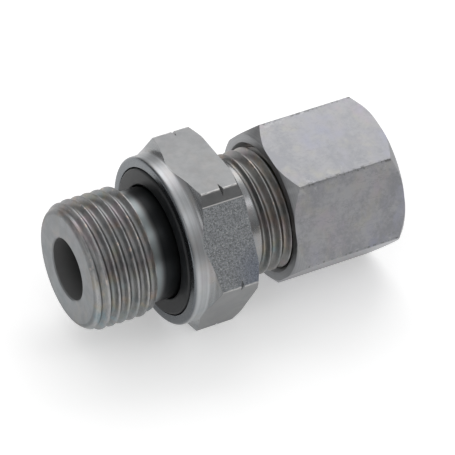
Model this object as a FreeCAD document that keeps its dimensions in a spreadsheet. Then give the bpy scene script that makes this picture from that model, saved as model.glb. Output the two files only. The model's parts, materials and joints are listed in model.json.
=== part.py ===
import FreeCAD, Part
import os
import Sketcher

# Straight male stud fitting for 10 mm hydraulic tube, 24 degree cone and cutting ring.
# All lengths are millimetres. The axis of the fitting is X: the stud points along -X and
# the tube enters along -X from the nut's end. The origin lies on the axis in the plane of
# the collar's sealing face. One flat of the body's hexagon faces +Z.

SIZES = {
    # Stud: parallel pipe thread 3/8, drawn here at the diameter of its crests
    "bore": 8.0,
    "bore_edge": 0.15,
    "stud_length": 12.0,
    "stud_thread": 16.55,
    "stud_lead": 1.6,
    "stud_lead_drop": 1.25,
    "relief_length": 3.4,
    "relief_flank": 0.45,
    "relief_drop": 1.1,
    # Collar that carries the soft seal
    "collar_length": 1.55,
    "rim_wall": 1.3,
    "rim_edge": 0.25,
    "recess_depth": 1.3,
    # Hexagon of the body
    "body_flats": 21.8,
    "hex_length": 5.5,
    "hex_chamfer": 1.05,
    "hex_chamfer_angle": 30.0,
    "shoulder_round": 1.1,
    "shoulder_angle": 70.0,
    # V groove turned across the six corners halfway along the hexagon
    "notch_depth": 0.5,
    "notch_width": 0.5,
    # Tube end of the body: M16 x 1.5 thread, drawn at the diameter of its crests
    "neck_length": 2.0,
    "neck_drop": 0.42,
    "neck_flank": 0.45,
    "tube_thread": 15.85,
    "tube_thread_length": 10.0,
    "tube_thread_lead": 0.8,
    "tube": 10.0,
    "socket_gap": 0.05,
    "socket_depth": 7.0,
    "cone_rise": 2.3,
    "cone_angle": 24.0,
    # Soft seal in the collar's recess
    "seal_width": 2.135,
    "seal_gap": 0.12,
    "seal_thickness": 1.5,
    "seal_chamfer": 0.35,
    # Cutting ring, resting in the cone finger tight
    "ring_reach": 3.5,
    "ring_length": 9.0,
    "ring_fit": 0.08,
    "ring_gap": 0.1,
    "ring_wall": 1.35,
    "ring_chamfer": 0.7,
    "ring_edge": 1.2,
    "ring_groove": 1.8,
    "ring_groove_depth": 0.28,
    # Union nut
    "nut_flats": 18.8,
    "nut_length": 15.5,
    "nut_overlap": 5.5,
    "nut_angle": 12.47,
    "nut_chamfer": 1.35,
    "nut_thread_gap": 0.12,
    "nut_mouth": 0.45,
    "seat_gap": 0.1,
    "tube_hole_gap": 0.15,
    "tube_hole_edge": 0.3,
    # How far the cuts on both hexagons reach past their corners
    "mill_reach": 3.0,
}

# Radii and stations along the axis that follow from the sizes
BORE_R = "dims.bore / 2"
STUD_R = "dims.stud_thread / 2"
RELIEF_R = "(dims.stud_thread / 2 - dims.relief_drop)"
RECESS_R = f"({RELIEF_R} + dims.seal_width + 2 * dims.seal_gap)"
COLLAR_R = f"({RECESS_R} + dims.rim_wall)"
BODY_CORNER_R = "(dims.body_flats / sqrt(3))"
SHOULDER_END_X = "(dims.collar_length + dims.shoulder_round * sin(dims.shoulder_angle))"
SHOULDER_END_R = f"({COLLAR_R} + dims.shoulder_round * (1 - cos(dims.shoulder_angle)))"
HEX_FRONT_X = f"({SHOULDER_END_X} + ({BODY_CORNER_R} - {SHOULDER_END_R}) / tan(dims.shoulder_angle))"
HEX_BACK_X = f"({HEX_FRONT_X} + dims.hex_length)"
NOTCH_X = f"({HEX_FRONT_X} + dims.hex_length / 2)"
NOTCH_SIDE = "dims.notch_width / 2 * (1 + dims.mill_reach / dims.notch_depth)"
THREAD_R = "dims.tube_thread / 2"
NECK_R = "(dims.tube_thread / 2 - dims.neck_drop)"
NECK_END_X = f"({HEX_BACK_X} + dims.neck_length)"
BODY_END_X = f"({NECK_END_X} + dims.tube_thread_length)"
SOCKET_R = "(dims.tube / 2 + dims.socket_gap)"
MOUTH_R = "(dims.tube / 2 + dims.cone_rise / 2)"
TUBE_STOP_X = f"({BODY_END_X} - dims.socket_depth)"
CONE_ROOT_X = f"({BODY_END_X} - ({MOUTH_R} - {SOCKET_R}) / tan(dims.cone_angle / 2))"
RING_X = f"({BODY_END_X} - dims.ring_reach)"
RING_END_X = f"({RING_X} + dims.ring_length)"
RING_BORE_R = "(dims.tube / 2 + dims.ring_gap)"
RING_R = f"({RING_BORE_R} + dims.ring_wall)"
RING_NOSE_R = f"({MOUTH_R} - dims.ring_fit - dims.ring_reach * tan(dims.cone_angle / 2))"
RING_TAPER_X = f"({RING_X} + ({RING_R} - {RING_NOSE_R}) / tan(dims.cone_angle / 2))"
NUT_X = f"({BODY_END_X} - dims.nut_overlap)"
NUT_END_X = f"({NUT_X} + dims.nut_length)"
NUT_CORNER_R = "(dims.nut_flats / sqrt(3))"
NUT_BORE_R = "(dims.tube_thread / 2 + dims.nut_thread_gap)"
TUBE_HOLE_R = "(dims.tube / 2 + dims.tube_hole_gap)"
RING_HEEL_R = f"({RING_R} - dims.ring_chamfer)"
SEAT_INNER_X = f"({RING_END_X} + {RING_HEEL_R} - {TUBE_HOLE_R} + dims.seat_gap)"
SEAT_OUTER_X = f"({SEAT_INNER_X} - {NUT_BORE_R} + {TUBE_HOLE_R})"

doc = FreeCAD.newDocument("tube_fitting")
sheet = doc.addObject("Spreadsheet::Sheet", "dims")
for row, (alias, value) in enumerate(SIZES.items(), start=1):
    sheet.set(f"A{row}", alias)
    sheet.set(f"B{row}", str(value))
    sheet.setAlias(f"B{row}", alias)
doc.recompute()


def new_body(label):
    body = doc.addObject("PartDesign::Body", label)
    body.Label = label
    body.Placement = FreeCAD.Placement()
    return body


def new_sketch(body, name, role):
    planes = {feature.Role: feature for feature in body.Origin.OriginFeatures}
    sketch = body.newObject("Sketcher::SketchObject", name)
    sketch.AttachmentSupport = [(planes[role], "")]
    sketch.MapMode = "FlatFace"
    return sketch


def fix_point(sketch, edge, end, name, across, up):
    # Ties one end of an edge to the sketch's origin by two expressions
    for kind, letter, formula in (("DistanceX", "x", across), ("DistanceY", "y", up)):
        datum = sheet.evalExpression(formula)
        number = sketch.addConstraint(Sketcher.Constraint(kind, -1, 1, edge, end, float(datum)))
        sketch.renameConstraint(number, f"{name}_{letter}")
        sketch.setExpression(f"Constraints.{name}_{letter}", formula)


def draw_outline(sketch, points):
    # Closed outline of named points (name, across, up). A point with a fourth entry is
    # reached by an arc, whose centre lies straight above or below the station given there.
    spots = [
        FreeCAD.Vector(sheet.evalExpression(point[1]), sheet.evalExpression(point[2]), 0)
        for point in points
    ]
    count = len(points)
    ends = []
    for index in range(count):
        start, stop = spots[index], spots[(index + 1) % count]
        arrival = points[(index + 1) % count]
        if len(arrival) == 3:
            sketch.addGeometry(Part.LineSegment(start, stop))
            ends.append((1, 2))
            continue
        centre_x = sheet.evalExpression(arrival[3])
        reach = (stop.x - centre_x) ** 2 - (start.x - centre_x) ** 2 + stop.y**2 - start.y**2
        centre = FreeCAD.Vector(centre_x, reach / (2 * (stop.y - start.y)), 0)
        radius = (start - centre).Length
        circle = Part.Circle(centre, FreeCAD.Vector(0, 0, 1), radius)
        turns = (start - centre).cross(stop - centre).z > 0
        first, last = (start, stop) if turns else (stop, start)
        arc = Part.ArcOfCircle(circle, circle.parameter(first), circle.parameter(last))
        sketch.addGeometry(arc)
        ends.append((1, 2) if turns else (2, 1))
        number = sketch.addConstraint(Sketcher.Constraint("DistanceX", -1, 1, index, 3, centre_x))
        sketch.renameConstraint(number, f"{arrival[0]}_centre")
        sketch.setExpression(f"Constraints.{arrival[0]}_centre", arrival[3])
    for index in range(count):
        after = (index + 1) % count
        joint = Sketcher.Constraint("Coincident", index, ends[index][1], after, ends[after][0])
        sketch.addConstraint(joint)
    for index, point in enumerate(points):
        fix_point(sketch, index, ends[index][0], point[0], point[1], point[2])


def turn(body, name, points, cut=False):
    # Solid of revolution about X, added to the body or cut out of it
    sketch = new_sketch(body, f"{name}_profile", "XZ_Plane")
    draw_outline(sketch, points)
    kind = "PartDesign::Groove" if cut else "PartDesign::Revolution"
    feature = body.newObject(kind, name)
    feature.Profile = sketch
    feature.ReferenceAxis = (sketch, ["H_Axis"])
    feature.Angle = 360
    sketch.Visibility = False
    doc.recompute()
    return feature


def mill_hexagon(body, name, corner, angle, face, depth):
    # Leaves a hexagon standing: cuts from the given face towards -X, outside the six flats
    sketch = new_sketch(body, f"{name}_flats", "YZ_Plane")
    sketch.setExpression("AttachmentOffset.Base.z", face)
    draw_outline(
        sketch,
        [
            (
                f"corner_{index}",
                f"{corner} * cos({60 * index} + {angle})",
                f"{corner} * sin({60 * index} + {angle})",
            )
            for index in range(6)
        ],
    )
    blank_r = f"{corner} + dims.mill_reach"
    reach = sheet.evalExpression(blank_r)
    blank = Part.Circle(FreeCAD.Vector(0, 0, 0), FreeCAD.Vector(0, 0, 1), reach)
    ring = sketch.addGeometry(blank)
    sketch.addConstraint(Sketcher.Constraint("Coincident", ring, 3, -1, 1))
    number = sketch.addConstraint(Sketcher.Constraint("Radius", ring, reach))
    sketch.renameConstraint(number, "blank")
    sketch.setExpression("Constraints.blank", blank_r)
    feature = body.newObject("PartDesign::Pocket", name)
    feature.Profile = sketch
    feature.Type = "Length"
    feature.setExpression("Length", depth)
    sketch.Visibility = False
    doc.recompute()
    return feature


# Fitting body: stud, collar, hexagon and tube end are one forged and turned piece
fitting_body = new_body("fitting_body")
turn(
    fitting_body,
    "turned_blank",
    [
        ("axis_front", "-dims.stud_length", "0"),
        ("stud_face", "-dims.stud_length", f"{STUD_R} - dims.stud_lead_drop"),
        ("stud_crest", "-dims.stud_length + dims.stud_lead", STUD_R),
        ("stud_last_crest", "-dims.relief_length - dims.relief_flank", STUD_R),
        ("relief_start", "-dims.relief_length", RELIEF_R),
        ("recess_root", "dims.recess_depth", RELIEF_R),
        ("recess_corner", "dims.recess_depth", RECESS_R),
        ("rim_inner", "0", RECESS_R),
        ("rim_outer", "0", f"{COLLAR_R} - dims.rim_edge"),
        ("collar_edge", "dims.rim_edge", COLLAR_R),
        ("collar_back", "dims.collar_length", COLLAR_R),
        ("shoulder_end", SHOULDER_END_X, SHOULDER_END_R, "dims.collar_length"),
        ("hex_front", HEX_FRONT_X, BODY_CORNER_R),
        ("hex_back", f"{HEX_BACK_X} - dims.hex_chamfer * tan(dims.hex_chamfer_angle)", BODY_CORNER_R),
        ("hex_face", HEX_BACK_X, f"{BODY_CORNER_R} - dims.hex_chamfer"),
        ("neck_root", HEX_BACK_X, NECK_R),
        ("neck_end", NECK_END_X, NECK_R),
        ("thread_first_crest", f"{NECK_END_X} + dims.neck_flank", THREAD_R),
        ("thread_last_crest", f"{BODY_END_X} - dims.tube_thread_lead", THREAD_R),
        ("thread_face", BODY_END_X, f"{THREAD_R} - dims.tube_thread_lead"),
        ("axis_back", BODY_END_X, "0"),
    ],
)
mill_hexagon(
    fitting_body,
    "body_hexagon",
    BODY_CORNER_R,
    "0",
    HEX_BACK_X,
    f"{HEX_BACK_X} - dims.collar_length",
)
turn(
    fitting_body,
    "corner_notch",
    [
        ("notch_front", f"{NOTCH_X} - {NOTCH_SIDE}", f"{BODY_CORNER_R} + dims.mill_reach"),
        ("notch_root", NOTCH_X, f"{BODY_CORNER_R} - dims.notch_depth"),
        ("notch_back", f"{NOTCH_X} + {NOTCH_SIDE}", f"{BODY_CORNER_R} + dims.mill_reach"),
    ],
    cut=True,
)
turn(
    fitting_body,
    "flow_bore",
    [
        ("axis_front", "-dims.stud_length", "0"),
        ("bore_mouth", "-dims.stud_length", f"{BORE_R} + dims.bore_edge"),
        ("bore_start", "-dims.stud_length + dims.bore_edge", BORE_R),
        ("bore_end", TUBE_STOP_X, BORE_R),
        ("tube_stop", TUBE_STOP_X, SOCKET_R),
        ("cone_root", CONE_ROOT_X, SOCKET_R),
        ("cone_mouth", BODY_END_X, MOUTH_R),
        ("axis_back", BODY_END_X, "0"),
    ],
    cut=True,
)

# Soft seal: a square-cut ring with two chamfers, seated on the recess floor
SEAL_INNER_R = f"({RELIEF_R} + dims.seal_gap)"
SEAL_OUTER_R = f"({RECESS_R} - dims.seal_gap)"
SEAL_FACE_X = "(dims.recess_depth - dims.seal_thickness)"
stud_seal = new_body("stud_seal")
turn(
    stud_seal,
    "seal_section",
    [
        ("back_inner", "dims.recess_depth", SEAL_INNER_R),
        ("side_inner", f"{SEAL_FACE_X} + dims.seal_chamfer", SEAL_INNER_R),
        ("face_inner", SEAL_FACE_X, f"{SEAL_INNER_R} + dims.seal_chamfer"),
        ("face_outer", SEAL_FACE_X, f"{SEAL_OUTER_R} - dims.seal_chamfer"),
        ("side_outer", f"{SEAL_FACE_X} + dims.seal_chamfer", SEAL_OUTER_R),
        ("back_outer", "dims.recess_depth", SEAL_OUTER_R),
    ],
)

# Cutting ring: its nose taper follows the body's cone and its heel the nut's 45 degree seat
cutting_ring = new_body("cutting_ring")
turn(
    cutting_ring,
    "ring_section",
    [
        ("nose_inner", RING_X, RING_BORE_R),
        ("nose_outer", RING_X, RING_NOSE_R),
        ("taper_end", RING_TAPER_X, RING_R),
        ("heel_outer", f"{RING_END_X} - dims.ring_chamfer", RING_R),
        ("heel_face", RING_END_X, RING_HEEL_R),
        ("heel_inner", RING_END_X, RING_BORE_R),
        ("second_edge", f"{RING_X} + dims.ring_edge + dims.ring_groove", RING_BORE_R),
        (
            "groove_back",
            f"{RING_X} + dims.ring_edge + dims.ring_groove",
            f"{RING_BORE_R} + dims.ring_groove_depth",
        ),
        (
            "groove_front",
            f"{RING_X} + dims.ring_edge + dims.ring_groove_depth",
            f"{RING_BORE_R} + dims.ring_groove_depth",
        ),
        ("first_edge", f"{RING_X} + dims.ring_edge", RING_BORE_R),
    ],
)

# Union nut: threaded bore, 45 degree seat for the ring's heel, and the hole for the tube
union_nut = new_body("union_nut")
turn(
    union_nut,
    "turned_nut",
    [
        ("mouth_edge", NUT_X, f"{NUT_BORE_R} + dims.nut_mouth"),
        ("front_face", NUT_X, f"{NUT_CORNER_R} - dims.nut_chamfer"),
        ("front_corner", f"{NUT_X} + dims.nut_chamfer", NUT_CORNER_R),
        ("back_corner", f"{NUT_END_X} - dims.nut_chamfer", NUT_CORNER_R),
        ("back_face", NUT_END_X, f"{NUT_CORNER_R} - dims.nut_chamfer"),
        ("hole_mouth", NUT_END_X, f"{TUBE_HOLE_R} + dims.tube_hole_edge"),
        ("hole_edge", f"{NUT_END_X} - dims.tube_hole_edge", TUBE_HOLE_R),
        ("seat_inner", SEAT_INNER_X, TUBE_HOLE_R),
        ("seat_outer", SEAT_OUTER_X, NUT_BORE_R),
        ("bore_front", f"{NUT_X} + dims.nut_mouth", NUT_BORE_R),
    ],
)
mill_hexagon(
    union_nut,
    "nut_hexagon",
    NUT_CORNER_R,
    "dims.nut_angle",
    NUT_END_X,
    "dims.nut_length",
)

bodies = [fitting_body, stud_seal, cutting_ring, union_nut]


def check_document():
    for item in doc.Objects:
        if "Invalid" in item.State or "Error" in item.State:
            raise RuntimeError(f"{item.Label} did not compute: {item.State}")
    for body in bodies:
        shape = body.Shape
        if shape.isNull() or not shape.isValid() or len(shape.Solids) != 1:
            raise RuntimeError(f"{body.Label} is not one valid solid")
        for feature in body.Group:
            if feature.TypeId not in ("PartDesign::Pocket", "PartDesign::Groove"):
                continue
            if feature.Shape.Volume >= feature.BaseFeature.Shape.Volume:
                raise RuntimeError(f"{feature.Label} removed nothing from {body.Label}")


doc.recompute()
check_document()
os.makedirs("parts", exist_ok=True)
for body in bodies:
    body.Shape.exportStep(f"parts/{body.Label}.step")
    box = body.Shape.BoundBox
    print(f"{body.Label}: {body.Shape.Volume:.1f} mm3, X {box.XMin:.2f} to {box.XMax:.2f}")
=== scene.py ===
import math
import bmesh
import bpy
from mathutils import Matrix, Vector
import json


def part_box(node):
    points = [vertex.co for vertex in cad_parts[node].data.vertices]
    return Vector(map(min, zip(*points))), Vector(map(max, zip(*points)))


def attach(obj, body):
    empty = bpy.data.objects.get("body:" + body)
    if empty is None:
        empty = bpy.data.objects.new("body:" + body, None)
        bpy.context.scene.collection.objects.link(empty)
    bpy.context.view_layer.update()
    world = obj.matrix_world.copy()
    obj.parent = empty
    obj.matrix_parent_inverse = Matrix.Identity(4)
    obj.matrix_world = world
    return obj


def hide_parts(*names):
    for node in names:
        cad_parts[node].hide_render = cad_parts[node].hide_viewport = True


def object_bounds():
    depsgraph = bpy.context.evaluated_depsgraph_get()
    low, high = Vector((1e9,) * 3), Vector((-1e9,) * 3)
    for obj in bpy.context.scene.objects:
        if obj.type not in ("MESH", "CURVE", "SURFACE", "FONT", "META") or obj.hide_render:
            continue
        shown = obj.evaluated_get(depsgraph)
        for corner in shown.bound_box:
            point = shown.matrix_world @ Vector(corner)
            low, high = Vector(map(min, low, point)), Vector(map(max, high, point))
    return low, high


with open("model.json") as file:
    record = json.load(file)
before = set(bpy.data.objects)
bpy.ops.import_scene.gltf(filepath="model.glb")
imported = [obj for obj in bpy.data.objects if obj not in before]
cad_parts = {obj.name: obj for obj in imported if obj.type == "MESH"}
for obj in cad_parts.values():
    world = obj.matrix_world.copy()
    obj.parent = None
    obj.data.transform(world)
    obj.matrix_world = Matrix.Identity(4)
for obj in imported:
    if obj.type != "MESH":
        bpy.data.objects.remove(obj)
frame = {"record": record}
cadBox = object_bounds()
mm = 0.001
steps = 192  # columns round the axis of every turned piece
sixth = math.pi / 3  # from one flat of a hexagon to the next
sharpAngle = math.radians(32)
# What counts as one place, in millimetres
near = {"plane": 1e-5, "seam": 1e-4, "joint": 2e-4, "flat": 1e-3, "milled": 2e-3}
nearColumn = 0.01  # and on one column, as a share of the angle between two
print("frame loaded")


# What the frame says about the sizes, in millimetres
def boxInMm(node):
    low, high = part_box(node)
    return low / mm, high / mm


def mountOf(name):
    return next(mount for mount in frame["record"]["mounts"] if mount["name"] == name)


def mountRadius(name):
    return mountOf(name)["dims"]["r_mm"]


def mountStart(name):
    mount = mountOf(name)
    return mount["pos_m"][0] / mm - mount["dims"]["length_mm"] / 2


bodyLow, bodyHigh = boxInMm("fitting_body")
sealLow, sealHigh = boxInMm("stud_seal")
ringLow, ringHigh = boxInMm("cutting_ring")
nutLow, nutHigh = boxInMm("union_nut")
boreRadius = mountRadius("flow_bore")
socketRadius = mountRadius("tube_socket")
tubeHoleRadius = mountRadius("tube_entry")
sealGap = 0.12
reliefDrop = 1.1  # how far the relief lies inside the crests of the stud's thread


# Turned surfaces: a section of (x, radius) is spun about the axis. A third number cuts that
# corner back and rounds it, and a fourth gives the segments of its round.
def wire(points, segments=5):
    bm = bmesh.new()
    verts = [bm.verts.new((point[0], 0, point[1])) for point in points]
    for pair in zip(verts, verts[1:]):
        bm.edges.new(pair)
    for vert, point in zip(verts, points):
        if len(point) > 2:
            bmesh.ops.bevel(
                bm, geom=[vert], offset=point[2], offset_type="OFFSET",
                segments=point[3] if len(point) > 3 else segments,
                profile=0.5, affect="VERTICES", clamp_overlap=False, material=-1,
            )
    return bm


def turned(points, segments=5):
    bm = wire(points, segments)
    bmesh.ops.spin(
        bm, geom=bm.verts[:] + bm.edges[:], cent=(0, 0, 0), axis=(1, 0, 0), dvec=(0, 0, 0),
        angle=math.tau, steps=steps, use_merge=True, use_duplicate=False,
    )
    return bm


def join(*parts):
    whole = bmesh.new()
    for part in parts:
        mesh = bpy.data.meshes.new("part")
        part.to_mesh(mesh)
        whole.from_mesh(mesh)
        bpy.data.meshes.remove(mesh)
        part.free()
    return whole


# Threads: a narrow crest and a broad round root in each pitch
def softMin(a, b, soft):
    overlap = max(soft - abs(a - b), 0)
    return min(a, b) - overlap * overlap / (4 * soft)


def threadRadius(thread, x):
    slope = 1 / math.tan(thread["flankAngle"])
    turn = (x - thread["crestAt"]) / thread["pitch"]
    away = abs(turn - round(turn)) * thread["pitch"]
    ridge = thread["crest"] - (away - thread["crestWidth"] / 2) * slope
    ridge = softMin(ridge, thread["crest"], thread["crestSoft"])
    return -softMin(-ridge, thread["depth"] - thread["crest"], thread["rootSoft"])


def vertAngle(vert):
    return math.atan2(-vert.co.y, vert.co.z)  # from +Z towards -Y


def cutAt(bm, x, clearBelow=False, clearAbove=False):
    bmesh.ops.bisect_plane(
        bm, geom=bm.verts[:] + bm.edges[:] + bm.faces[:], dist=near["plane"], plane_co=(x, 0, 0),
        plane_no=(1, 0, 0), clear_inner=clearBelow, clear_outer=clearAbove,
    )


def threadSkin(thread, start, end, gap=0.0):
    # The section moves on by one pitch while it is spun once, which makes a right-hand thread
    pitch, rows = thread["pitch"], thread["rows"]
    firstTurn = math.floor((start - thread["crestAt"]) / pitch) - 1
    lastTurn = math.ceil((end - thread["crestAt"]) / pitch)
    places = [
        thread["crestAt"] + pitch * (firstTurn + row / rows)
        for row in range((lastTurn - firstTurn) * rows + 1)
    ]
    bm = wire([(x, threadRadius(thread, x) + gap) for x in places])
    bmesh.ops.spin(
        bm, geom=bm.verts[:] + bm.edges[:], cent=(0, 0, 0), axis=(1, 0, 0),
        dvec=(pitch / steps, 0, 0), angle=math.tau, steps=steps, use_merge=False, use_duplicate=False,
    )
    bmesh.ops.remove_doubles(bm, verts=bm.verts[:], dist=near["seam"])
    cutAt(bm, start, clearBelow=True)
    cutAt(bm, end, clearAbove=True)
    return bm


def limitRadius(bm, limit):
    # limit takes a place along the axis and a radius, and gives the radius that is left there
    for vert in bm.verts:
        radius = math.hypot(vert.co.y, vert.co.z)
        share = limit(vert.co.x, radius) / radius
        vert.co.y *= share
        vert.co.z *= share


def evenRim(bm, x, radius):
    # Only the columns' own points stay on a rim, so that it meets the next turned section
    column = math.tau / steps
    rim = [vert for vert in bm.verts if abs(vert.co.x - x) < near["seam"]]
    turns = {vert: vertAngle(vert) / column for vert in rim}
    own = [vert for vert in rim if abs(turns[vert] - round(turns[vert])) < nearColumn]
    for vert in own:
        angle = round(turns[vert]) * column
        vert.co = (x, -math.sin(angle) * radius, math.cos(angle) * radius)
    bmesh.ops.dissolve_verts(bm, verts=[vert for vert in rim if vert not in own])
    bmesh.ops.remove_doubles(bm, verts=[vert for vert in own if vert.is_valid], dist=near["flat"])


# Hexagons: each flat is cut off the turned blank and filled
def flatNormal(angle):
    return Vector((0, -math.sin(angle), math.cos(angle)))


def millHexagon(bm, flat, angle):
    for side in range(6):
        normal = flatNormal(angle + side * sixth)
        cut = bmesh.ops.bisect_plane(
            bm, geom=bm.verts[:] + bm.edges[:] + bm.faces[:], dist=near["plane"],
            plane_co=normal * flat, plane_no=normal, clear_outer=True,
        )
        loop = [item for item in cut["geom_cut"] if isinstance(item, bmesh.types.BMEdge)]
        bmesh.ops.edgenet_fill(bm, edges=loop)
    bmesh.ops.remove_doubles(bm, verts=bm.verts[:], dist=near["milled"])
    bmesh.ops.dissolve_degenerate(bm, dist=near["seam"], edges=bm.edges[:])
    bmesh.ops.recalc_face_normals(bm, faces=bm.faces[:])


def onFlat(face, flat, angle):
    normal = flatNormal(angle)
    return all(abs(vert.co.dot(normal) - flat) < near["flat"] for vert in face.verts)


def roundCorners(bm, flat, angle, offset, segments=3, leastAngle=math.radians(40)):
    # The six long edges between neighbouring flats, whose normals are 60 degrees apart
    angles = [angle + side * sixth for side in range(6)]
    flats = [face for face in bm.faces if any(onFlat(face, flat, turn) for turn in angles)]
    edges = [
        edge for edge in bm.edges
        if len(edge.link_faces) == 2 and all(face in flats for face in edge.link_faces)
        and edge.calc_face_angle(0) > leastAngle
    ]
    bmesh.ops.bevel(
        bm, geom=edges, offset=offset, offset_type="OFFSET", segments=segments,
        profile=0.5, affect="EDGES", clamp_overlap=True, material=-1,
    )


def raiseLine(bm, flat, angle, line):
    # A fine ridge along one flat, as far from the flat's middle as line["lateral"] says
    normal = flatNormal(angle)
    aside = flatNormal(angle + math.pi / 2)
    for place in (-line["halfWidth"], 0, line["halfWidth"]):
        faces = [face for face in bm.faces if onFlat(face, flat, angle)]
        edges = dict.fromkeys(edge for face in faces for edge in face.edges)
        verts = dict.fromkeys(vert for face in faces for vert in face.verts)
        bmesh.ops.bisect_plane(
            bm, geom=[*verts, *edges, *faces], dist=near["plane"],
            plane_co=aside * (line["lateral"] + place), plane_no=aside,
        )
    for vert in bm.verts:
        offLine = abs(vert.co.dot(aside) - line["lateral"])
        if max(offLine, abs(vert.co.dot(normal) - flat)) < near["flat"]:
            vert.co += normal * line["height"]


def finishMesh(bm, name):
    bmesh.ops.remove_doubles(bm, verts=bm.verts[:], dist=near["joint"])
    bmesh.ops.dissolve_degenerate(bm, dist=near["plane"], edges=bm.edges[:])
    bmesh.ops.recalc_face_normals(bm, faces=bm.faces[:])
    openEdges = sum(1 for edge in bm.edges if len(edge.link_faces) != 2)
    for face in bm.faces:
        face.smooth = True
    for edge in bm.edges:
        edge.smooth = edge.calc_face_angle(0) < sharpAngle
    bmesh.ops.transform(bm, matrix=Matrix.Scale(mm, 4), verts=bm.verts[:])
    mesh = bpy.data.meshes.new(name)
    bm.to_mesh(mesh)
    bm.free()
    piece = bpy.data.objects.new(name, mesh)
    bpy.context.scene.collection.objects.link(piece)
    crisp = piece.modifiers.new("crisp flats", "WEIGHTED_NORMAL")
    crisp.keep_sharp = True
    triangles = sum(len(polygon.vertices) - 2 for polygon in mesh.polygons)
    print(f"{name}: {triangles} triangles, {openEdges} open edges")
    return piece


# Fitting body: stud, collar, hexagon, neck and tube end in one closed skin
fitting = {
    "studEnd": bodyLow.x,
    "tubeEnd": bodyHigh.x,
    "flat": bodyHigh.z,
    "boreEdge": 0.15,
    "reliefRadius": mountRadius("stud_thread") - reliefDrop,
    "recessDepth": sealHigh.x,
    "recessRadius": sealHigh.z + sealGap,
    "recessRound": 0.12,
    "rimWall": 1.3,
    "rimRound": 0.4,
    "rimSegments": 8,
    "rimInnerRound": 0.1,
    "shoulderStart": 1.55,
    "shoulderRound": 1.1,
    "shoulderSegments": 18,
    "shoulderAngle": math.radians(70),
    "blankSpare": 0.3,
    "hexLength": 5.5,
    "hexChamfer": 1.05,
    "hexChamferAngle": math.radians(30),
    "hexFaceRound": 0.12,
    "notchDepth": 0.5,
    "notchWidth": 0.5,
    "notchRound": 0.05,
    "cornerRound": 0.13,
    "neckLength": 2.0,
    "neckDrop": 0.42,
    "neckFillet": 0.3,
    "coneMouth": 6.15,
    "coneMouthRound": 0.08,
    "coneAngle": math.radians(12),
    "tubeStop": mountStart("tube_socket"),
    "tubeStopRound": 0.1,
    "frontAngle": math.radians(60),
}
frontLine = {"lateral": -4.65, "halfWidth": 0.09, "height": 0.06}
studThread = {
    "crest": mountRadius("stud_thread"),
    "pitch": 1.337,
    "flankAngle": math.radians(27.5),
    "depth": 0.64,
    "crestWidth": 0.18,
    "crestSoft": 0.1,
    "rootSoft": 0.42,
    "crestAt": -3.96,
    "rows": 24,
    "lead": 1.6,
    "leadDrop": 1.25,
    "leadRound": 0.6,  # share of the lead that is an arc, where the rest is a chamfer
    "leadSoft": 0.15,
    "lastCrest": -3.85,
    "runOutSoft": 0.03,
    "reliefStart": -3.4,
    "jointAway": 0.3,  # from the relief's start to where this skin meets the collar's
}
tubeThread = {
    "crest": 7.925,
    "pitch": 1.5,
    "flankAngle": math.radians(30),
    "depth": 0.8,
    "crestWidth": 0.16,
    "crestSoft": 0.1,
    "rootSoft": 0.44,
    "crestAt": 11.8,
    "rows": 24,
    "lead": 0.8,
    "leadSoft": 0.04,
    "fadeStart": 0.45,
    "fadeEnd": 1.45,
    "jointAway": 0.2,  # from the neck's end back to where this skin meets the hexagon's
}
cornerRadius = fitting["flat"] / math.cos(sixth / 2)
collarRadius = fitting["recessRadius"] + fitting["rimWall"]
shoulderCut = fitting["shoulderRound"] * math.tan(fitting["shoulderAngle"] / 2)
shoulderX = fitting["shoulderStart"] + shoulderCut
hexFront = shoulderX + (cornerRadius - collarRadius) / math.tan(fitting["shoulderAngle"])
hexBack = hexFront + fitting["hexLength"]
neckEnd = hexBack + fitting["neckLength"]
neckRadius = tubeThread["crest"] - fitting["neckDrop"]
studFace = studThread["crest"] - studThread["leadDrop"]
tubeFace = tubeThread["crest"] - tubeThread["lead"]
studJoint = studThread["reliefStart"] + studThread["jointAway"]
neckJoint = neckEnd - tubeThread["jointAway"]


def studSkin():
    thread = studThread
    start, crest = fitting["studEnd"], thread["crest"]
    runOut = (crest - fitting["reliefRadius"]) / (thread["reliefStart"] - thread["lastCrest"])

    def limit(x, radius):
        lead = max((x - start) / thread["lead"], 0)
        arc = 1 - math.sqrt(1 - (1 - min(lead, 1)) ** 2)
        drop = thread["leadDrop"] * (arc * thread["leadRound"] + (1 - lead) * (1 - thread["leadRound"]))
        radius = softMin(radius, crest - drop, thread["leadSoft"])
        radius = softMin(radius, crest - (x - thread["lastCrest"]) * runOut, thread["runOutSoft"])
        return max(radius, fitting["reliefRadius"]) if x > thread["lastCrest"] else radius

    bm = threadSkin(thread, start, studJoint)
    cutAt(bm, thread["reliefStart"])
    limitRadius(bm, limit)
    evenRim(bm, start, studFace)
    evenRim(bm, studJoint, fitting["reliefRadius"])
    return bm


def tubeSkin():
    thread = tubeThread
    end = fitting["tubeEnd"]

    def limit(x, radius):
        share = (x - neckEnd - thread["fadeStart"]) / (thread["fadeEnd"] - thread["fadeStart"])
        share = min(max(share, 0), 1)
        share = share * share * (3 - 2 * share)
        radius = neckRadius + (radius - neckRadius) * share
        return softMin(radius, tubeFace + end - x, thread["leadSoft"])

    bm = threadSkin(thread, neckJoint, end)
    limitRadius(bm, limit)
    evenRim(bm, neckJoint, neckRadius)
    evenRim(bm, end, tubeFace)
    return bm


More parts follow.
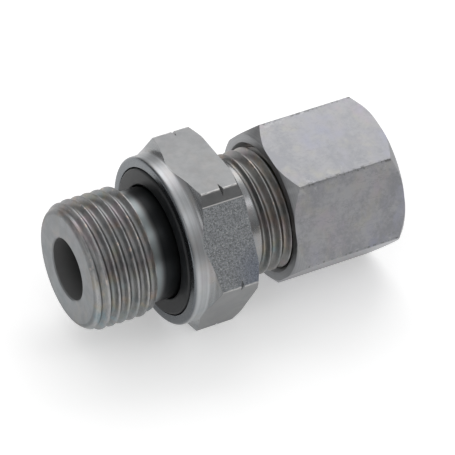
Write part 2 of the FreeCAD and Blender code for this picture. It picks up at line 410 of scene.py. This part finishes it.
def hexagonSkin():
    size = fitting
    blank = cornerRadius + size["blankSpare"]
    notchX = hexFront + size["hexLength"] / 2
    notchHalf = size["notchWidth"] / 2 * (1 + size["blankSpare"] / size["notchDepth"])
    chamferX = hexBack - (size["hexChamfer"] + size["blankSpare"]) * math.tan(size["hexChamferAngle"])
    bm = turned(
        [
            (studJoint, size["reliefRadius"]),
            (size["recessDepth"], size["reliefRadius"], size["recessRound"]),
            (size["recessDepth"], size["recessRadius"], size["recessRound"]),
            (0, size["recessRadius"], size["rimInnerRound"]),
            (0, collarRadius, size["rimRound"], size["rimSegments"]),
            (shoulderX, collarRadius, shoulderCut, size["shoulderSegments"]),
            (shoulderX + (blank - collarRadius) / math.tan(size["shoulderAngle"]), blank),
            (notchX - notchHalf, blank),
            (notchX, cornerRadius - size["notchDepth"], size["notchRound"]),
            (notchX + notchHalf, blank),
            (chamferX, blank),
            (hexBack, cornerRadius - size["hexChamfer"], size["hexFaceRound"]),
            (hexBack, neckRadius, size["neckFillet"]),
            (neckJoint, neckRadius),
        ]
    )
    millHexagon(bm, size["flat"], 0)
    roundCorners(bm, size["flat"], 0, size["cornerRound"])
    raiseLine(bm, size["flat"], size["frontAngle"], frontLine)
    return bm


def boreSkin():
    size = fitting
    coneRoot = size["tubeEnd"] - (size["coneMouth"] - socketRadius) / math.tan(size["coneAngle"])
    return turned(
        [
            (size["tubeEnd"], tubeFace),
            (size["tubeEnd"], size["coneMouth"], size["coneMouthRound"]),
            (coneRoot, socketRadius),
            (size["tubeStop"], socketRadius),
            (size["tubeStop"], boreRadius, size["tubeStopRound"]),
            (size["studEnd"] + size["boreEdge"], boreRadius),
            (size["studEnd"], boreRadius + size["boreEdge"]),
            (size["studEnd"], studFace),
        ],
        segments=3,
    )


def makeFittingBody():
    body = join(studSkin(), hexagonSkin(), tubeSkin(), boreSkin())
    return finishMesh(body, "fitting_body_detailed")


# Soft seal: a moulded ring with a rounded front
seal = {
    "inner": fitting["reliefRadius"] + sealGap,
    "outer": sealHigh.z,
    "frontRound": 0.32,
    "backRound": 0.15,
}


def makeSeal():
    middle = (sealLow.x + sealHigh.x) / 2
    bm = turned(
        [
            (middle, seal["inner"]),
            (sealHigh.x, seal["inner"], seal["backRound"]),
            (sealHigh.x, seal["outer"], seal["backRound"]),
            (sealLow.x, seal["outer"], seal["frontRound"]),
            (sealLow.x, seal["inner"], seal["frontRound"]),
            (middle, seal["inner"]),
        ],
        segments=6,
    )
    return finishMesh(bm, "stud_seal_moulded")


# Cutting ring: nose taper, two inner edges and the heel that the nut's seat pushes
ring = {
    "bore": 5.1,
    "nose": 5.326,
    "noseEdge": 0.1,
    "noseRound": 0.04,
    "outer": ringHigh.z,
    "taperRound": 0.3,
    "heelChamfer": 0.7,
    "cornerRound": 0.08,
    "firstEdge": 1.2,
    "grooveDepth": 0.28,
    "grooveRound": 0.03,
    "secondEdge": 3.0,
}


def makeRing():
    start, end, bore = ringLow.x, ringHigh.x, ring["bore"]
    taperEnd = start + (ring["outer"] - ring["nose"]) / math.tan(fitting["coneAngle"])
    groove = bore + ring["grooveDepth"]
    bm = turned(
        [
            (start, bore + ring["noseEdge"]),
            (start, ring["nose"], ring["noseRound"]),
            (taperEnd, ring["outer"], ring["taperRound"]),
            (end - ring["heelChamfer"], ring["outer"], ring["cornerRound"]),
            (end, ring["outer"] - ring["heelChamfer"], ring["cornerRound"]),
            (end, bore, ring["cornerRound"]),
            (start + ring["secondEdge"], bore),
            (start + ring["secondEdge"], groove, ring["grooveRound"]),
            (start + ring["firstEdge"] + ring["grooveDepth"], groove, ring["grooveRound"]),
            (start + ring["firstEdge"], bore),
            (start + ring["noseEdge"], bore),
            (start, bore + ring["noseEdge"]),
        ],
        segments=4,
    )
    return finishMesh(bm, "cutting_ring_turned")


# Union nut: chamfered hexagon outside, thread and seat inside
nut = {
    "start": nutLow.x,
    "end": nutHigh.x,
    "flat": 9.4,
    "angle": math.radians(12.47),
    "chamfer": 1.35,
    "blankSpare": 0.25,
    "faceRound": 0.1,
    "mouth": 0.45,
    "boreRadius": 8.045,
    "threadGap": 0.07,
    "threadLength": 8.3,
    "runOut": 0.6,
    "cornerRound": 0.12,
    "holeEdge": 0.3,
    "seatGap": 0.1,
    "seatRound": 0.1,
}
nutCorner = nut["flat"] / math.cos(sixth / 2)


def nutThreadSkin(end):
    tooth = tubeThread["crest"] - tubeThread["depth"] + nut["threadGap"]

    def limit(x, radius):
        radius = max(radius, nut["boreRadius"] + nut["mouth"] - (x - nut["start"]))
        share = min(max(1 - (end - x) / nut["runOut"], 0), 1)
        return max(radius, tooth + (nut["boreRadius"] - tooth) * share)

    bm = threadSkin(tubeThread, nut["start"], end, nut["threadGap"])
    limitRadius(bm, limit)
    evenRim(bm, nut["start"], nut["boreRadius"] + nut["mouth"])
    evenRim(bm, end, nut["boreRadius"])
    return bm


def makeUnionNut():
    blank = nutCorner + nut["blankSpare"]
    slide = nut["chamfer"] + nut["blankSpare"]
    outside = turned(
        [
            (nut["start"], nut["boreRadius"] + nut["mouth"]),
            (nut["start"], nutCorner - nut["chamfer"], nut["faceRound"]),
            (nut["start"] + slide, blank),
            (nut["end"] - slide, blank),
            (nut["end"], nutCorner - nut["chamfer"], nut["faceRound"]),
            (nut["end"], tubeHoleRadius + nut["holeEdge"]),
            (nut["end"] - nut["holeEdge"], tubeHoleRadius),
        ],
        segments=4,
    )
    millHexagon(outside, nut["flat"], nut["angle"])
    roundCorners(outside, nut["flat"], nut["angle"], nut["cornerRound"])
    threadEnd = nut["start"] + nut["threadLength"]
    seatInner = ringHigh.x + ring["outer"] - ring["heelChamfer"] - tubeHoleRadius + nut["seatGap"]
    seatOuter = seatInner - nut["boreRadius"] + tubeHoleRadius
    inside = turned(
        [
            (threadEnd, nut["boreRadius"]),
            (seatOuter, nut["boreRadius"], nut["seatRound"]),
            (seatInner, tubeHoleRadius, nut["seatRound"]),
            (nut["end"] - nut["holeEdge"], tubeHoleRadius),
        ],
        segments=4,
    )
    return finishMesh(join(outside, nutThreadSkin(threadEnd), inside), "union_nut_detailed")


fittingBody = makeFittingBody()
studSeal = makeSeal()
cuttingRing = makeRing()
unionNut = makeUnionNut()
print("pieces modelled")


# Materials: shader maths is written as plain arithmetic on sockets
class Signal:
    def __init__(self, tree, socket=None):
        self.tree = tree
        self.socket = socket

    def node(self, kind, settings, inputs, output=0):
        made = self.tree.nodes.new(kind)
        for name, value in settings.items():
            if name == "stops":
                setStops(made.color_ramp, value)
            else:
                setattr(made, name, value)
        for name, value in inputs.items():
            if isinstance(value, Signal):
                self.tree.links.new(value.socket, made.inputs[name])
            else:
                made.inputs[name].default_value = value
        return Signal(self.tree, made.outputs[output] if len(made.outputs) else None)

    def other(self, output):
        return Signal(self.tree, self.socket.node.outputs[output])

    def maths(self, operation, first, second=0.0):
        return self.node("ShaderNodeMath", {"operation": operation}, {0: first, 1: second})

    def __add__(self, value):
        return self.maths("ADD", self, value)

    def __sub__(self, value):
        return self.maths("SUBTRACT", self, value)

    def __rsub__(self, value):
        return self.maths("SUBTRACT", value, self)

    def __mul__(self, value):
        return self.maths("MULTIPLY", self, value)

    def __truediv__(self, value):
        return self.maths("DIVIDE", self, value)

    def __abs__(self):
        return self.maths("ABSOLUTE", self)

    __radd__ = __add__

    def larger(self, value):
        return self.maths("MAXIMUM", self, value)

    def rise(self, low, high):  # 0 below low, 1 above high, smooth between
        settings = {"interpolation_type": "SMOOTHSTEP"}
        return self.node("ShaderNodeMapRange", settings, {0: self, 1: low, 2: high, 3: 0.0, 4: 1.0})

    def fall(self, low, high):  # 1 below low, 0 above high
        return 1 - self.rise(low, high)

    def band(self, low, high, soft):  # 1 between low and high
        return self.rise(low - soft, low + soft) * self.fall(high - soft, high + soft)

    def mix(self, below, above):  # self is how much of the second colour shows
        return self.node("ShaderNodeMix", {"data_type": "RGBA"}, {0: self, 6: below, 7: above}, 2)

    def ramp(self, stops):
        return self.node("ShaderNodeValToRGB", {"stops": stops}, {0: self})


def setStops(ramp, stops):
    while len(ramp.elements) < len(stops):
        ramp.elements.new(1.0)
    for element, (place, colour) in zip(ramp.elements, stops):
        element.position = place
        element.color = (*colour, 1)


def layered(colour, layers):  # each layer is how much of it shows, and its colour
    for amount, tone in layers:
        colour = amount.mix(colour, tone)
    return colour


def grey(level, warmth=0.0):
    return (level * (1 + warmth), level, level * (1 - warmth), 1)


class Finish:
    # A new material with the places that its patterns read, in millimetres
    def __init__(self, name):
        self.material = bpy.data.materials.new(name)
        self.material.use_nodes = True
        self.material.node_tree.nodes.clear()
        self.start = Signal(self.material.node_tree)
        place = self.start.node("ShaderNodeTexCoord", {}, {}, "Object")
        self.place = self.start.node("ShaderNodeVectorMath", {"operation": "SCALE"}, {0: place, 3: 1 / mm})
        self.x = self.start.node("ShaderNodeSeparateXYZ", {}, {0: self.place})
        self.y = self.x.other(1)
        self.z = self.x.other(2)
        squared = self.y * self.y + self.z * self.z
        self.radius = squared.maths("SQRT", squared)
        self.rings = self.start.node("ShaderNodeCombineXYZ", {}, {0: self.x, 1: self.radius})

    def noise(self, place, scale, detail=2.0, rough=0.5):
        inputs = {"Vector": place, "Scale": scale, "Detail": detail, "Roughness": rough}
        return self.start.node("ShaderNodeTexNoise", {}, inputs)

    def stretched(self, along, across):  # the place, scaled along the axis and across it
        inputs = {0: self.place, 1: (along, across, across)}
        return self.start.node("ShaderNodeVectorMath", {"operation": "MULTIPLY"}, inputs)

    def across(self, angle):  # how far out a point lies in the direction of a flat
        return self.z * math.cos(angle) - self.y * math.sin(angle)

    def hexReach(self, angle):
        reach = abs(self.across(angle))
        for side in (1, 2):
            reach = reach.larger(abs(self.across(angle + side * sixth)))
        return reach

    def crestAway(self, thread):  # how far along the axis the nearest crest of a thread is
        angle = self.start.maths("ARCTAN2", self.y * -1, self.z)
        turn = (self.x - thread["crestAt"]) / thread["pitch"] - angle / math.tau
        return abs(turn - turn.maths("ROUND", turn)) * thread["pitch"]

    def done(self, colour, rough, height, fixed):
        # height is in millimetres
        bump = self.start.node("ShaderNodeBump", {}, {"Strength": 1.0, "Distance": mm, "Height": height})
        inputs = {**fixed, "Base Color": colour, "Roughness": rough, "Normal": bump}
        shader = self.start.node("ShaderNodeBsdfPrincipled", {}, inputs)
        self.start.node("ShaderNodeOutputMaterial", {}, {"Surface": shader})
        return self.material


# Noises, as their scale, detail and roughness
noises = {
    "cloud": (0.5, 4.0, 0.6),
    "streaks": (6.0, 3.0, 0.65),
    "grit": (4.3, 3.0, 0.75),
    "grain": (1.0, 3.0, 0.65),
    "lines": (2.6, 3.0, 0.7),
    "specks": (8.0, 1.0, 0.5),
    "glint": (1.1, 3.0, 0.6),
    "wear": (0.9, 4.0, 0.7),
    "nutCloud": (0.3, 5.0, 0.65),
    "nutFine": (2.2, 4.0, 0.65),
    "nutHairs": (0.3, 4.0, 0.65),
    "nutScuffs": (0.9, 5.0, 0.7),
    "ringCloud": (0.6, 3.0, 0.6),
    "ringStreaks": (9.0, 2.0, 0.6),
    "sealCloud": (0.8, 3.0, 0.6),
    "sealSkin": (9.0, 2.0, 0.6),
}
# How much some of them are squeezed along the axis and across it
squeezes = {"grain": (1.2, 7.0), "wear": (2.8, 0.8), "hairs": (0.5, 1.1), "film": (1.9, 1.3)}

# The plating's thin film: spots of teal, olive, straw, orange and pink on the turned body,
# and paler lilac, yellow and pink on the nut
bodyTints = [
    (0.0, (0.17, 0.27, 0.31)),
    (0.25, (0.22, 0.27, 0.26)),
    (0.45, (0.27, 0.27, 0.19)),
    (0.62, (0.37, 0.31, 0.22)),
    (0.82, (0.39, 0.28, 0.22)),
    (1.0, (0.33, 0.26, 0.29)),
]
nutTints = [
    (0.0, (0.29, 0.30, 0.39)),
    (0.35, (0.33, 0.32, 0.35)),
    (0.6, (0.37, 0.36, 0.31)),
    (0.85, (0.375, 0.325, 0.345)),
    (1.0, (0.35, 0.32, 0.39)),
]


def filmOn(finish, colour, scale, amount, tints, climb=0.0):
    # climb moves the tints along as a point lies higher
    hue = finish.noise(finish.place, scale * 0.4, 3.0, 0.6) + finish.z * climb
    spots = finish.noise(finish.stretched(*squeezes["film"]), scale, 3.0, 0.6)
    return (spots.rise(0.42, 0.68) * amount).mix(colour, hue.rise(0.32, 0.68).ramp(tints))


# Where each finish of the body begins and ends, in millimetres. The third number of a band is
# the softness of its edges.
bodyZones = {
    "flat": (-0.05, -0.01),  # out from the flats
    "frontFlat": (-0.08, -0.02),
    "blasted": (0.05, 0.2),  # across the front flat, from the line
    "line": (0.03, 0.09),
    "bluishAcross": (0, 5),
    "bluishAlong": (4, 8),
    "burr": (-0.1, -0.055),  # out from the corners
    "studThread": (-3.75, -3.55),
    "studFloor": (6.9, 7.1),
    "tubeThread": (0.5, 1.0),  # from the neck's end
    "tubeFloor": (6.9, 7.0),
    "shank": (-3.6, 1.0, 0.1),
    "shankRadius": (7.1, 7.25, 0.05),
    # Painted reflection of the black seal and painted shade, on the shank beside the seal
    "sealReflectionOnShank": (-3.2, -1.9),
    "shankPale": (-3.0, -2.3),
    "bore": (6.0, 6.3),
    "boreMouth": (0.05, 0.2),  # from the stud's end
    "boreShadeDepth": (0.5, 4),
    "endFace": (0.02, 0.3),
    "collar": (0.3, 1.9, 0.2),
    "collarRadius": (-0.5, 0.2, 0.15),  # out from the collar
    "rim": (-0.5, 0.2, 0.1),
    "rimRadius": (-0.1, 0),  # out from the recess
    # The upper side, where more painted glints and paler painted groove shade stand, as light falls from
    # above
    "litUpperSide": (-2, 6),
    "crest": (0.05, 0.25),  # along the axis from a crest
    "glint": (0.1, 0.35),
    "groove": (0.1, 0.5),
}
bodyTones = {
    "plating": (grey(0.195, -0.02), grey(0.25, -0.01)),
    "turned": grey(0.34, -0.03),
    "collar": grey(0.47, -0.03),
    "rubbed": grey(0.38, 0.01),
    "stained": grey(0.13, 0.02),
    # groove: the thread roots' own darker colour together with painted shade
    "groove": grey(0.1, 0.03),
    "tubeThread": (0.32, 0.3, 0.25, 1),
    # crest: a painted highlight along the thread crests, broken up by wear
    "crest": grey(0.45),
    "glint": (0.66, 0.54, 0.46, 1),
    "grit": (grey(0.18, -0.04), grey(0.41, -0.04)),
    "speck": grey(0.6),
    "blueReflection": (0.14, 0.17, 0.25, 1),
    # burr: pale worn edges together with a painted edge highlight
    "burr": grey(0.6, 0.02),
    "sealReflectionOnShank": grey(0.012, -0.1),
    "shankPale": (0.2, 0.25, 0.26, 1),
    # endFace and rim: painted shade on the faces that look back along the axis, toning down the floor they
    # mirror
    "endFace": grey(0.16, -0.06),
    "rim": grey(0.15, -0.08),
    # bore: a dark lining at the mouth, and painted shade deep inside
    "bore": (grey(0.17), grey(0.02)),
}


def makeBodySteel():
    finish = Finish("body zinc plating")
    zone, tone = bodyZones, bodyTones
    x, radius, front = finish.x, finish.radius, fitting["frontAngle"]
    fromEnd = x - fitting["studEnd"]
    lateral = finish.across(front + math.pi / 2)
    fromLine = lateral - frontLine["lateral"]
    onHex = (finish.hexReach(0) - fitting["flat"]).rise(*zone["flat"])
    turnedSide = 1 - onHex
    onFront = (finish.across(front) - fitting["flat"]).rise(*zone["frontFlat"]) * onHex
    blasted = onFront * fromLine.rise(*zone["blasted"])
    # Painted reflection: a darker blue patch towards one edge and the back of the front flat
    blueReflection = blasted * lateral.rise(*zone["bluishAcross"]) * x.rise(*zone["bluishAlong"])
    # burr: pale worn corners, also a painted highlight along the hexagon's edges
    burr = (radius - cornerRadius).rise(*zone["burr"])
    line = onFront * abs(fromLine).fall(*zone["line"])
    studZone = x.fall(*zone["studThread"]) * radius.rise(*zone["studFloor"])
    tubeZone = (x - neckEnd).rise(*zone["tubeThread"]) * radius.rise(*zone["tubeFloor"])
    away = finish.crestAway(studThread) * studZone + finish.crestAway(tubeThread) * tubeZone
    threads = studZone + tubeZone
    shank = x.band(*zone["shank"]) * radius.band(*zone["shankRadius"])
    inBore = radius.fall(*zone["bore"]) * fromEnd.rise(*zone["boreMouth"])
    # depth: painted shade in the bore, darker further in, over the bore's own dark lining
    depth = fromEnd.rise(*zone["boreShadeDepth"])
    endFace = fromEnd.fall(*zone["endFace"])
    collar = x.band(*zone["collar"]) * (radius - collarRadius).band(*zone["collarRadius"])
    rimFace = x.band(*zone["rim"]) * (radius - fitting["recessRadius"]).rise(*zone["rimRadius"])
    # high: the upper side of the part, where light falls; it steers the painted glints and the painted
    # groove shade
    high = finish.z.rise(*zone["litUpperSide"])

    cloud = finish.noise(finish.place, *noises["cloud"])
    streaks = finish.noise(finish.rings, *noises["streaks"])
    grit = finish.noise(finish.place, *noises["grit"])
    grain = finish.noise(finish.stretched(*squeezes["grain"]), *noises["grain"])
    lines = finish.noise(finish.rings, *noises["lines"])
    specks = finish.noise(finish.place, *noises["specks"])
    glint = finish.noise(finish.place, *noises["glint"])
    wear = finish.noise(finish.stretched(*squeezes["wear"]), *noises["wear"])

    colour = layered(cloud.rise(0.3, 0.7).mix(*tone["plating"]), [
        (turnedSide * (streaks.rise(0.45, 0.75) * 0.4 + 0.42), tone["turned"]),
        (collar * (lines.rise(0.42, 0.6) * 0.35 + 0.5), tone["collar"]),
        (threads * wear.rise(0.45, 0.62) * 0.5, tone["rubbed"]),
        (threads * wear.fall(0.36, 0.5) * 0.35, tone["stained"]),
        # Darker thread grooves: partly their own colour, partly painted shade, which is lighter on the
        # upper side where light falls
        (threads * away.rise(*zone["groove"]) * (0.36 - high * 0.16), tone["groove"]),
        (tubeZone * 0.15, tone["tubeThread"]),
    ])
    film = turnedSide * 0.12 + threads * 0.33 + endFace * 0.12 + 0.05
    colour = filmOn(finish, colour, 0.4, film, bodyTints, 0.012)
    # Painted glints: warm highlight spots near the crests, more of them on the upper side
    glints = away.fall(*zone["glint"]) * glint.rise(0.6, 0.68) * (high * 0.55 + 0.15)
    gritTone = specks.rise(0.63, 0.7).mix(grit.rise(0.32, 0.68).mix(*tone["grit"]), tone["speck"])
    colour = layered(colour, [
        # Painted highlight along the crests, patchy where wear shows
        (threads * away.fall(*zone["crest"]) * (wear.rise(0.4, 0.6) * 0.3 + 0.1), tone["crest"]),
        (threads * glints, tone["glint"]),
        (blasted, gritTone),
        # Painted blue reflection on the front flat
        (blueReflection * 0.45, tone["blueReflection"]),
        # Pale worn corners with a painted edge highlight; the raised line on the front flat gets a painted
        # highlight
        (burr * grain.rise(0.3, 0.6) * 0.7 + line * 0.6, tone["burr"]),
        # Painted reflection and shade: the shank turns nearly black towards the seal
        (shank * (x.rise(*zone["sealReflectionOnShank"]) * 0.8 + 0.15), tone["sealReflectionOnShank"]),
        (shank * x.fall(*zone["shankPale"]) * 0.4, tone["shankPale"]),
        # Painted shade on the stud's end face and the collar's rim, which face back along the axis
        (endFace * (cloud.rise(0.35, 0.65) * 0.3 + 0.4), tone["endFace"]),
        (rimFace * 0.9, tone["rim"]),
        (inBore * 0.88, depth.mix(*tone["bore"])),
    ])

    rough = 0.27 + onHex * 0.1 + (cloud - 0.5) * 0.14 + blasted * 0.14 + threads * 0.13
    rough = rough + endFace * 0.1 + shank * 0.09 + inBore * 0.35 + collar * 0.13
    rough = rough + threads * (wear - 0.5) * 0.3
    height = turnedSide * (1 - threads) * streaks * 0.006 + threads * streaks * 0.002
    height = height + onHex * grain * 0.004 + blasted * grit * 0.035
    return finish.done(colour, rough, height, {"Metallic": 1 - inBore * 0.7})


nutZones = {
    "flat": (-0.05, -0.01),  # out from the flats
    "scuffs": (-0.8, -0.25),  # out from the corners
    "burr": (-0.2, -0.08),
    "bore": (8.3, 8.5),
}
nutTones = {
    "plating": ((0.242, 0.245, 0.26, 1), (0.347, 0.347, 0.36, 1)),
    "hair": grey(0.2, -0.02),
    "turned": (grey(0.28, -0.02), grey(0.36, -0.02)),
    "scuff": grey(0.48),
    "burr": grey(0.14),
    "bore": grey(0.11, 0.04),
}


def makeNutSteel():
    finish = Finish("nut zinc plating")
    zone, tone = nutZones, nutTones
    onHex = (finish.hexReach(nut["angle"]) - nut["flat"]).rise(*zone["flat"])
    turnedSide = 1 - onHex
    fromCorner = finish.radius - nutCorner
    cloud = finish.noise(finish.place, *noises["nutCloud"])
    fine = finish.noise(finish.place, *noises["nutFine"])
    grain = finish.noise(finish.stretched(*squeezes["grain"]), *noises["grain"])
    streaks = finish.noise(finish.rings, *noises["streaks"])
    contour = finish.noise(finish.stretched(*squeezes["hairs"]), *noises["nutHairs"])
    hairs = abs(contour - 0.5).fall(0.0, 0.012)
    scuffs = finish.noise(finish.place, *noises["nutScuffs"]).rise(0.56, 0.64) * onHex
    steel = (cloud * 0.7 + fine * 0.3).rise(0.38, 0.62).mix(*tone["plating"])
    colour = layered(filmOn(finish, steel, 0.3, 0.45, nutTints), [
        (hairs * 0.3, tone["hair"]),
        (turnedSide * 0.6, streaks.rise(0.35, 0.65).mix(*tone["turned"])),
        (fromCorner.rise(*zone["scuffs"]) * scuffs * 0.35, tone["scuff"]),
        (fromCorner.rise(*zone["burr"]) * fine.rise(0.5, 0.6) * 0.8, tone["burr"]),
        (finish.radius.fall(*zone["bore"]) * 0.6, tone["bore"]),
    ])
    rough = 0.4 + (cloud - 0.5) * 0.3 + (fine - 0.5) * 0.15
    height = grain * 0.003 + cloud * 0.01 + fine * 0.004 + turnedSide * streaks * 0.004
    return finish.done(colour, rough, height, {"Metallic": 1.0})


ringTones = (grey(0.28), grey(0.37))
sealTones = (grey(0.009, -0.1), grey(0.022, -0.1))
sealGloss = 0.35


def makeRingSteel():
    finish = Finish("ring zinc plating")
    cloud = finish.noise(finish.place, *noises["ringCloud"])
    streaks = finish.noise(finish.rings, *noises["ringStreaks"])
    steel = (cloud * 0.6 + streaks * 0.4).rise(0.3, 0.7).mix(*ringTones)
    return finish.done(steel, 0.28 + cloud * 0.08, streaks * 0.003, {"Metallic": 1.0})


def makeSealRubber():
    finish = Finish("black rubber")
    cloud = finish.noise(finish.place, *noises["sealCloud"])
    skin = finish.noise(finish.place, *noises["sealSkin"])
    colour = cloud.rise(0.3, 0.75).mix(*sealTones)
    fixed = {"Metallic": 0.0, "Specular IOR Level": sealGloss}
    return finish.done(colour, 0.38 + cloud * 0.14, skin * 0.006, fixed)


def dress(piece, material, body, node):
    piece.data.materials.append(material)
    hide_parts(node)
    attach(piece, body)


dress(fittingBody, makeBodySteel(), "body", "fitting_body")
dress(studSeal, makeSealRubber(), "body", "stud_seal")
dress(cuttingRing, makeRingSteel(), "ring", "cutting_ring")
dress(unionNut, makeNutSteel(), "nut", "union_nut")
print("finishes on")


# Studio: pale floor, plain sky and soft boxes. Its lengths are in millimetres, and its angles in
# degrees: azimuth 0 stands at -Y and looks along +Y.
studio = {
    "floorRadius": 600,
    "floorSegments": 96,
    "floorColour": 0.95,
    "floorRough": 0.9,
    "floorGloss": 0.1,
    "floorGlow": 0.36,
    "horizon": 0.27,
    "zenith": 0.8,
    "skyRange": (-0.05, 0.8),
    "boxDistance": 500,
}
softBoxes = [
    {"name": "overhead", "azimuth": 150, "elevation": 50, "width": 420, "height": 300, "radiance": 1.8},
    {"name": "key", "azimuth": 38, "elevation": 52, "width": 150, "height": 110, "radiance": 1.9},
    {"name": "left", "azimuth": -63, "elevation": 28, "width": 200, "height": 200, "radiance": 1.0},
]


def makeFloor():
    bm = bmesh.new()
    radius = studio["floorRadius"] * mm
    bmesh.ops.create_circle(bm, cap_ends=True, segments=studio["floorSegments"], radius=radius)
    bmesh.ops.translate(bm, vec=(0, 0, bodyLow.z * mm), verts=bm.verts[:])
    mesh = bpy.data.meshes.new("floor")
    bm.to_mesh(mesh)
    bm.free()
    floor = bpy.data.objects.new("floor", mesh)
    bpy.context.scene.collection.objects.link(floor)
    # The glow makes the floor white where it is seen or mirrored, and leaves its shadow
    finish = Finish("pale floor")
    path = finish.start.node("ShaderNodeLightPath", {}, {}, "Is Camera Ray")
    seen = path + path.other("Is Glossy Ray") + path.other("Is Transmission Ray")
    glow = seen.mix(grey(0), grey(studio["floorGlow"]))
    fixed = {"Specular IOR Level": studio["floorGloss"], "Emission Color": glow, "Emission Strength": 1.0}
    mesh.materials.append(finish.done(grey(studio["floorColour"]), studio["floorRough"], 0.0, fixed))


def makeSky():
    world = bpy.data.worlds.new("studio")
    bpy.context.scene.world = world
    world.use_nodes = True
    world.node_tree.nodes.clear()
    start = Signal(world.node_tree)
    direction = start.node("ShaderNodeTexCoord", {}, {}, "Generated")
    height = start.node("ShaderNodeSeparateXYZ", {}, {0: direction}, 2)
    level = height.rise(*studio["skyRange"]) * (studio["zenith"] - studio["horizon"]) + studio["horizon"]
    sky = start.node("ShaderNodeBackground", {}, {"Strength": level})
    start.node("ShaderNodeOutputWorld", {}, {"Surface": sky})


def outwards(azimuth, elevation):
    a, e = math.radians(azimuth), math.radians(elevation)
    return Vector((math.sin(a) * math.cos(e), -math.cos(a) * math.cos(e), math.sin(e)))


def facing(back, middle, distance, roll=0.0):
    turn = back.to_track_quat("Z", "Y").to_matrix().to_4x4() @ Matrix.Rotation(roll, 4, "Z")
    return Matrix.Translation(middle + back * distance * mm) @ turn


def makeSoftBox(name, azimuth, elevation, width, height, radiance):
    lamp = bpy.data.lights.new(name, "AREA")
    lamp.shape = "RECTANGLE"
    lamp.size = width * mm
    lamp.size_y = height * mm
    lamp.energy = radiance * math.pi * lamp.size * lamp.size_y
    box = bpy.data.objects.new(name, lamp)
    bpy.context.scene.collection.objects.link(box)
    middle = (cadBox[0] + cadBox[1]) / 2
    box.matrix_world = facing(outwards(azimuth, elevation), middle, studio["boxDistance"])


makeFloor()
makeSky()
for box in softBoxes:
    makeSoftBox(**box)


# Camera, fitted to the corners of the two hexagons
view = {
    "target": (9.98, -0.79, -0.83),
    "distance": 544.7,
    "azimuth": -30.17,
    "elevation": 39.38,
    "roll": math.radians(2.32),
    "lens": 346.56,
    "sensor": 36,
    "clip": (0.01, 10),
}


def makeCamera():
    data = bpy.data.cameras.new("camera")
    data.lens = view["lens"]
    data.sensor_width = view["sensor"]
    data.clip_start, data.clip_end = view["clip"]
    camera = bpy.data.objects.new("camera", data)
    bpy.context.scene.collection.objects.link(camera)
    back = outwards(view["azimuth"], view["elevation"])
    camera.matrix_world = facing(back, Vector(view["target"]) * mm, view["distance"], view["roll"])
    bpy.context.scene.camera = camera


makeCamera()
bpy.context.scene.view_settings.view_transform = "Standard"
print("studio ready")

bpy.context.view_layer.update()
